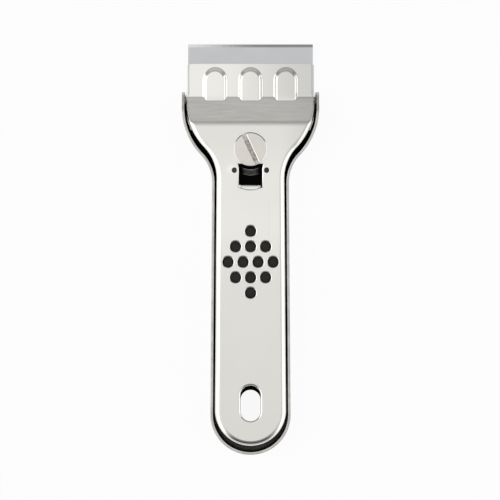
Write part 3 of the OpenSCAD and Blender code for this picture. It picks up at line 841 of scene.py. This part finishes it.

# Middle of the painted highlight beside the left pip, and the radii between which it fades
PIP_HIGHLIGHT_PLACE = (-6.2 * MM, (SCREW_Y - PIP_SETBACK + 0.4) * MM, COVER_H * MM)
PIP_HIGHLIGHT_FADE = (0.0005, 0.0022)


def both_ways(operation):
    """An operator of Link, and its reflected form for a number that stands first."""
    def straight(link, other):
        return link.maths(operation, other)

    def reflected(link, number):
        return node(link.tree, "Math", {"operation": operation}, {0: number, 1: link})

    return straight, reflected


class Link:
    """A value in a node tree. Sums and products of links add Math nodes."""

    __add__, __radd__ = both_ways("ADD")
    __sub__, __rsub__ = both_ways("SUBTRACT")
    __mul__, __rmul__ = both_ways("MULTIPLY")
    __truediv__, __rtruediv__ = both_ways("DIVIDE")

    def __init__(self, tree, socket):
        self.tree, self.socket = tree, socket

    def __abs__(self):
        return self.maths("ABSOLUTE")

    def maths(self, operation, *others):
        """A Math node on this value, and on the others that its operation takes."""
        return node(self.tree, "Math", {"operation": operation}, dict(enumerate((self, *others))))

    def ramp(self, low, high):
        """0 below low, 1 above high, smooth between."""
        return node(self.tree, "MapRange", {"interpolation_type": "SMOOTHSTEP"},
                    {"Value": self, "From Min": low, "From Max": high})

    def within(self, low, high):
        """1 below low, 0 above high, smooth between."""
        return 1 - self.ramp(low, high)

    def between(self, start, end):
        """1 between two fades, the first in and the second out."""
        return self.ramp(*start) * self.within(*end)

    def mix(self, first, second):
        """A colour that goes from the first, where this is 0, to the second, where it is 1."""
        first, second = (c if isinstance(c, Link) else (*c, 1) for c in (first, second))
        mixed = node(self.tree, "Mix", {"data_type": "RGBA"},
                     {MIX_AMOUNT: self, MIX_FIRST: first, MIX_SECOND: second})
        return mixed.part(MIX_RESULT)

    def split(self):
        """A place taken apart into X, Y and Z."""
        return node(self.tree, "SeparateXYZ", {}, {"Vector": self})

    def part(self, name):
        """Another output of the same node, by its name or number."""
        return Link(self.tree, self.socket.node.outputs[name])


def node(tree, kind, settings, inputs):
    """Adds a node, its settings first, then its inputs as links or plain values."""
    made = tree.nodes.new("ShaderNode" + kind)
    for key, value in settings.items():
        setattr(made, key, value)
    for key, value in inputs.items():
        if isinstance(value, Link):
            tree.links.new(value.socket, made.inputs[key])
        else:
            made.inputs[key].default_value = value
    return Link(tree, next((s for s in made.outputs if s.enabled), None))


def object_place(tree, stretch=(1, 1, 1), turn=(0, 0, 0), centre=(0, 0, 0)):
    """Object coordinates, moved to a centre, turned and stretched."""
    start = node(tree, "TexCoord", {}, {}).part("Object")
    return node(tree, "Mapping", {"vector_type": "POINT"},
                {"Vector": start, "Location": tuple(-a * b for a, b in zip(centre, stretch)),
                 "Rotation": turn, "Scale": stretch})


def noise(tree, scale, detail=3.0, rough=0.5, stretch=(1, 1, 1), turn=(0, 0, 0)):
    return node(tree, "TexNoise", {}, {"Vector": object_place(tree, stretch, turn), "Scale": scale,
                                       "Detail": detail, "Roughness": rough})


def new_metal(name, preview):
    material = bpy.data.materials.new(name)
    material.use_nodes = True
    material.diffuse_color = (*preview, 1)
    return material, material.node_tree


def feed(material, colour, roughness, height, depth, strength):
    """Gives a metal its colour, its roughness and its bumps, where depth is what a height of 1
    stands for in metres."""
    tree = material.node_tree
    shader = tree.nodes["Principled BSDF"]
    shader.inputs["Metallic"].default_value = 1.0
    normal = node(tree, "Bump", {}, {"Height": height, "Distance": depth, "Strength": strength})
    for name, link in (("Base Color", colour), ("Roughness", roughness), ("Normal", normal)):
        tree.links.new(link.socket, shader.inputs[name])


def make_nickel_sheet():
    """Bright nickel on rolled strip: a soft mirror with faint rolling grain and handling marks, brushed
    across the slope. Its colour holds painted light: a painted sheen in the middle of the handle,
    painted shade at the right of the handle's front and along the lip's right side, and a painted
    highlight beside the left pip."""
    material, tree = new_metal("nickel_sheet", (0.83, 0.82, 0.80))
    cloud = noise(tree, 45.0, detail=2.0)
    grain = noise(tree, 2600.0, stretch=(1, 0.04, 1))
    marks = noise(tree, 900.0, detail=4.0, stretch=(1, 0.02, 1), turn=(0, 0, 0.5))
    skin = noise(tree, 380.0, detail=2.0)
    streak = noise(tree, 900.0, detail=4.0, rough=0.6, stretch=(0.15, 1, 1))
    place = object_place(tree)
    to_pip = node(tree, "VectorMath", {"operation": "DISTANCE"}, {0: place, 1: PIP_HIGHLIGHT_PLACE})
    spot = place.split()
    across, along = spot.part("X"), spot.part("Y")
    handle = cloud.ramp(0.3, 0.7).mix((0.835, 0.826, 0.787), (0.86, 0.851, 0.81))
    # Painted sheen: the middle of the handle is painted brighter
    handle = along.between(*SHEEN_ZONE).mix(handle, (0.925, 0.915, 0.872))
    # Painted shade: the handle's front is painted darker at the right
    shaded = across.ramp(*SHADED_SIDE) * along.ramp(*SHADED_FADE)
    handle = shaded.mix(handle, (0.74, 0.733, 0.7))
    # Painted highlight: a bright spot beside the left pip
    handle = to_pip.part("Value").ramp(*PIP_HIGHLIGHT_FADE).mix((0.995, 0.985, 0.95), handle)
    brushed = streak.ramp(0.3, 0.7).mix((0.82, 0.81, 0.775), (0.97, 0.955, 0.92))
    handle = (0.5 * along.between(*SLOPE_ZONE)).mix(handle, brushed)
    # Painted shade: the lip is painted darker towards its right side
    lip = across.ramp(*LIP_SHADE_SIDE).mix((0.95, 0.94, 0.9), (0.70, 0.694, 0.665))
    rough = 0.12 + 0.05 * grain + 0.04 * cloud.ramp(0.45, 0.75) + 0.05 * marks.ramp(0.62, 0.72)
    feed(material, colour=along.ramp(*LIP_FADE).mix(handle, lip), roughness=rough,
         height=0.6 * grain + 0.3 * skin, depth=0.000008, strength=0.3)
    return material


def make_sheet_inside():
    """The unpolished inside of both shells: dull strip with thin plate, its colour painted dark as
    shade, darker and glossier under the holes, and painted near black as shade under the cover's wide
    head and round the hanging slot, where no light comes."""
    material, tree = new_metal("sheet_inside", (0.1, 0.1, 0.1))
    cloud = noise(tree, 220.0, detail=4.0)
    place = object_place(tree).split()
    across, along = abs(place.part("X")), place.part("Y")
    low = place.part("Z").within(COVER_UNDER * MM, (COVER_UNDER + 0.2) * MM)
    # Painted shade: near black under the cover's wide head and round the hanging slot
    shade_under_head = along.ramp(*UNDER_HEAD_SHADE_FADE) * low
    shade_by_slot = across.within(*SLOT_SIDE) * along.between(*SLOT_ZONE)
    under_holes = across.within(*HOLES_SIDE) * along.between(*HOLES_ZONE)
    # The dull strip's cloudy tone, painted dark as shade
    plain = cloud.ramp(0.3, 0.75).mix((0.065, 0.062, 0.058), (0.12, 0.115, 0.108))
    # Painted shade: darker under the holes, where they let one see in, and glossier there
    plain = under_holes.mix(plain, (0.036, 0.035, 0.033))
    feed(material, colour=(shade_under_head + shade_by_slot).mix(plain, (0.006, 0.006, 0.006)),
         roughness=0.42 + 0.15 * cloud - 0.29 * under_holes,
         height=cloud, depth=0.00002, strength=0.3)
    return material


def make_cut_edge():
    """Sheared edges, where the plate is thin and the steel torn into fine lines."""
    material, tree = new_metal("cut_edge", (0.6, 0.6, 0.58))
    lines = noise(tree, 3400.0, stretch=(1, 1, 0.05))
    cloud = noise(tree, 260.0)
    colour = cloud.ramp(0.3, 0.75).mix((0.62, 0.61, 0.585), (0.76, 0.75, 0.715))
    feed(material, colour, roughness=0.3 + 0.16 * lines, height=lines, depth=0.000006, strength=0.4)
    return material


def make_boss_glint():
    """The boss's flank, stretched and matt, with a painted glint in its middle and painted near black as
    shade elsewhere.
    """
    material, tree = new_metal("boss_glint_steel", (0.5, 0.5, 0.48))
    cloud = noise(tree, 500.0, detail=4.0)
    across = abs(object_place(tree).split().part("X"))
    # Painted glint: bright only in the middle of the flank, near black as painted shade elsewhere
    painted_glint = across.within(*GLINT_SIDE) * cloud.ramp(0.1, 0.5)
    feed(material, colour=painted_glint.mix((0.03, 0.029, 0.028), (0.92, 0.91, 0.88)),
         roughness=0.62 + 0.15 * cloud, height=cloud, depth=0.00001, strength=0.4)
    return material


def make_slot_steel():
    """The coin slot, milled and left bare: browner and duller in its deep middle."""
    material, tree = new_metal("slot_steel", (0.5, 0.48, 0.45))
    speck = noise(tree, 1900.0, detail=4.0)
    spots = speck.ramp(0.35, 0.65)
    deep = spots.mix((0.44, 0.405, 0.375), (0.80, 0.76, 0.71))
    shallow = spots.mix((0.62, 0.605, 0.58), (0.78, 0.765, 0.74))
    height = object_place(tree).split().part("Z")
    rise = height.ramp((HEAD_TOP - COIN_DEEP) * MM, (HEAD_TOP - COIN_SHALLOW) * MM)
    feed(material, colour=rise.mix(deep, shallow), roughness=0.42 + 0.2 * speck,
         height=speck, depth=0.00001, strength=0.4)
    return material


def make_screw_nickel():
    """Turned face: fine rings about the screw's axis under a warmer plate, and a painted shadow line,
    dark, along the head's rim on the blade's side."""
    material, tree = new_metal("screw_nickel", (0.79, 0.76, 0.72))
    place = object_place(tree, centre=(0, SCREW_Y * MM, 0))
    flat = node(tree, "VectorMath", {"operation": "MULTIPLY"}, {0: place, 1: (1, 1, 0)})
    reach = node(tree, "VectorMath", {"operation": "LENGTH"}, {0: flat}).part("Value")
    fine, broad = (reach * 42000.0).maths("SINE"), (reach * 9000.0).maths("SINE")
    cloud = noise(tree, 160.0)
    plate = cloud.ramp(0.3, 0.7).mix((0.835, 0.802, 0.744), (0.87, 0.836, 0.776))
    # Painted shadow: a dark line on the head's rim, on the blade's side
    rim = reach.ramp((HEAD_D / 2 - 0.3) * MM, (HEAD_D / 2 - 0.2) * MM)
    spot = place.split()
    rim_shadow_side = (spot.part("Y") - 0.4 * abs(spot.part("X"))).ramp(0.0, 0.0012)
    feed(material, colour=(rim * rim_shadow_side).mix(plate, (0.1, 0.095, 0.09)),
         roughness=0.25 + 0.08 * cloud + 0.02 * fine,
         height=fine + 0.4 * broad, depth=0.0000025, strength=0.5)
    return material


def make_blade_flat():
    """Rolled blade steel, satin and slightly blue."""
    material, tree = new_metal("blade_flat", (0.58, 0.61, 0.63))
    grain = noise(tree, 3200.0, detail=4.0, stretch=(0.03, 1, 1))
    cloud = noise(tree, 120.0)
    feed(material, colour=cloud.ramp(0.35, 0.7).mix((0.685, 0.695, 0.71), (0.72, 0.728, 0.74)),
         roughness=0.3 + 0.1 * grain + 0.05 * cloud, height=grain, depth=0.000005, strength=0.4)
    return material


def make_blade_bevel():
    """Ground facets with grinding lines that run towards the edge, with a painted reflection: lighter at
    the left and darker towards the right.
    """
    material, tree = new_metal("blade_bevel", (0.62, 0.63, 0.64))
    lines = noise(tree, 2000.0, detail=5.0, rough=0.7, stretch=(1, 0.03, 1))
    across = object_place(tree).split().part("X")
    # Painted reflection: light at the left, darker to the right, broken by the grinding lines
    dull = across.ramp(*BEVEL_REFLECTION_SIDE) + 0.6 * (lines - 0.5)
    feed(material, colour=dull.ramp(0, 1).mix((0.92, 0.92, 0.92), (0.31, 0.32, 0.33)),
         roughness=0.26 + 0.12 * lines, height=lines, depth=0.000006, strength=0.5)
    return material


def make_plated_steel():
    """Zinc plate: greyer, with a fine cloudy grain."""
    material, tree = new_metal("plated_steel", (0.66, 0.65, 0.62))
    cloud = noise(tree, 700.0, detail=4.0)
    feed(material, colour=cloud.ramp(0.35, 0.7).mix((0.60, 0.595, 0.575), (0.68, 0.67, 0.65)),
         roughness=0.3 + 0.12 * cloud, height=cloud, depth=0.000006, strength=0.4)
    return material


shell_finishes = [make_nickel_sheet(), make_sheet_inside(), make_cut_edge()]
boss_glint_steel = make_boss_glint()
screw_nickel = make_screw_nickel()
slot_steel = make_slot_steel()
blade_finishes = [make_blade_flat(), make_blade_bevel()]
plated_steel = make_plated_steel()

build_cover(shell_finishes)
build_tray(shell_finishes + [boss_glint_steel])
build_blade(blade_finishes)
build_screw([screw_nickel, slot_steel])
build_thread([screw_nickel])
build_washer([plated_steel])
build_bush([plated_steel])


# Studio

# Light of the tent, of its cards low on both sides, and how much darker the notch at the right is
TENT, SIDE_CARD, NOTCH = 0.9, 0.42, 0.3

# Floor: how far it lies below the part and half its width, in metres, and how bright it is seen
FLOOR_DROP, FLOOR_HALF, FLOOR_GLOW = 0.00004, 3.0, 0.92

# Camera in metres: the photograph's width, the level where it is measured, and the camera's aim
PHOTO_W, PHOTO_Z, AIM_X, AIM_Y = 0.160, 0.006, -0.00016, -0.00027


def make_floor():
    """White paper, which the camera and mirrors see almost evenly bright."""
    bm = bmesh.new()
    bmesh.ops.create_grid(bm, x_segments=1, y_segments=1, size=FLOOR_HALF,
                          matrix=Matrix.Translation((0, 0, -FLOOR_DROP)))
    floor = new_object("floor", mesh_from(bm, "floor"))
    material = bpy.data.materials.new("floor_paper")
    material.use_nodes = True
    tree = material.node_tree
    tree.nodes.clear()
    path = node(tree, "LightPath", {}, {})
    seen = path.part("Is Camera Ray").maths("MAXIMUM", path.part("Is Glossy Ray"))
    paper = node(tree, "BsdfDiffuse", {}, {"Color": (0.93, 0.93, 0.93, 1)})
    bright = node(tree, "Emission", {}, {"Color": (1, 1, 1, 1), "Strength": 1.0})
    mixed = node(tree, "MixShader", {}, {0: FLOOR_GLOW * seen, 1: paper, 2: bright})
    node(tree, "OutputMaterial", {}, {"Surface": mixed})
    floor.data.materials.append(material)


def make_world():
    """A soft tent, by the slope of the direction that a face reflects: its sideways part over its
    height. White cards stand low on both sides, a grey one beyond the blade, and beyond the
    handle's end one that is dark high up and pale lower down."""
    world = bpy.data.worlds.new("studio")
    bpy.context.scene.world = world
    world.use_nodes = True
    tree = world.node_tree
    tree.nodes.clear()
    way = node(tree, "TexCoord", {}, {}).part("Generated").split()
    height = way.part("Z").maths("MAXIMUM", 0.03)
    right, ahead = way.part("X") / height, way.part("Y") / height
    left, behind = 0 - right, 0 - ahead
    askew = abs(way.part("X")) / (abs(way.part("Y")) + 0.01)
    notch = right.between((0.0, 0.5), (0.7, 1.6))
    level = TENT * (1 - NOTCH * notch) + SIDE_CARD * (left.ramp(0.3, 0.9) + right.ramp(0.8, 1.8))
    grey = ahead.ramp(0.0, 1.3) * askew.within(1.6, 2.4)
    far = 0.45 + 0.14 * ahead.ramp(2.0, 5.0) - 0.45 * ahead.ramp(9.0, 20.0)
    far = far * (1 - 0.35 * askew.ramp(0.5, 1.3))
    level = level * (1 - grey) + TENT * far * grey
    dim = behind.ramp(0.0, 0.25) * askew.within(0.5, 1.3)
    rear = 0.25 - 0.21 * behind.ramp(0.3, 0.9) + 0.56 * behind.ramp(1.35, 2.05)
    level = level * (1 - dim) + TENT * rear * dim
    back = node(tree, "Background", {}, {"Color": (1, 1, 1, 1), "Strength": level})
    node(tree, "OutputWorld", {}, {"Surface": back})


def make_lamp(name, place, size, power):
    """A round lamp turned towards the part."""
    data = bpy.data.lights.new(name, "AREA")
    data.shape, data.size, data.energy = "DISK", size, power
    lamp = new_object(name, data)
    lamp.location = place
    lamp.rotation_euler = (-Vector(place)).to_track_quat("-Z", "Y").to_euler()


def make_camera():
    data = bpy.data.cameras.new("camera")
    data.lens, data.sensor_width = 300.0, 36.0
    data.clip_start, data.clip_end = 0.05, 20.0
    camera = new_object("camera", data)
    camera.location = (AIM_X, AIM_Y, PHOTO_W * data.lens / data.sensor_width + PHOTO_Z)
    bpy.context.scene.camera = camera


make_floor()
make_world()
make_lamp("left_lamp", (-0.9, 0.1, 0.75), size=1.0, power=1.5)
make_lamp("right_lamp", (0.9, -0.1, 0.6), size=1.0, power=1.0)
make_camera()
bpy.context.scene.view_settings.view_transform = "Standard"
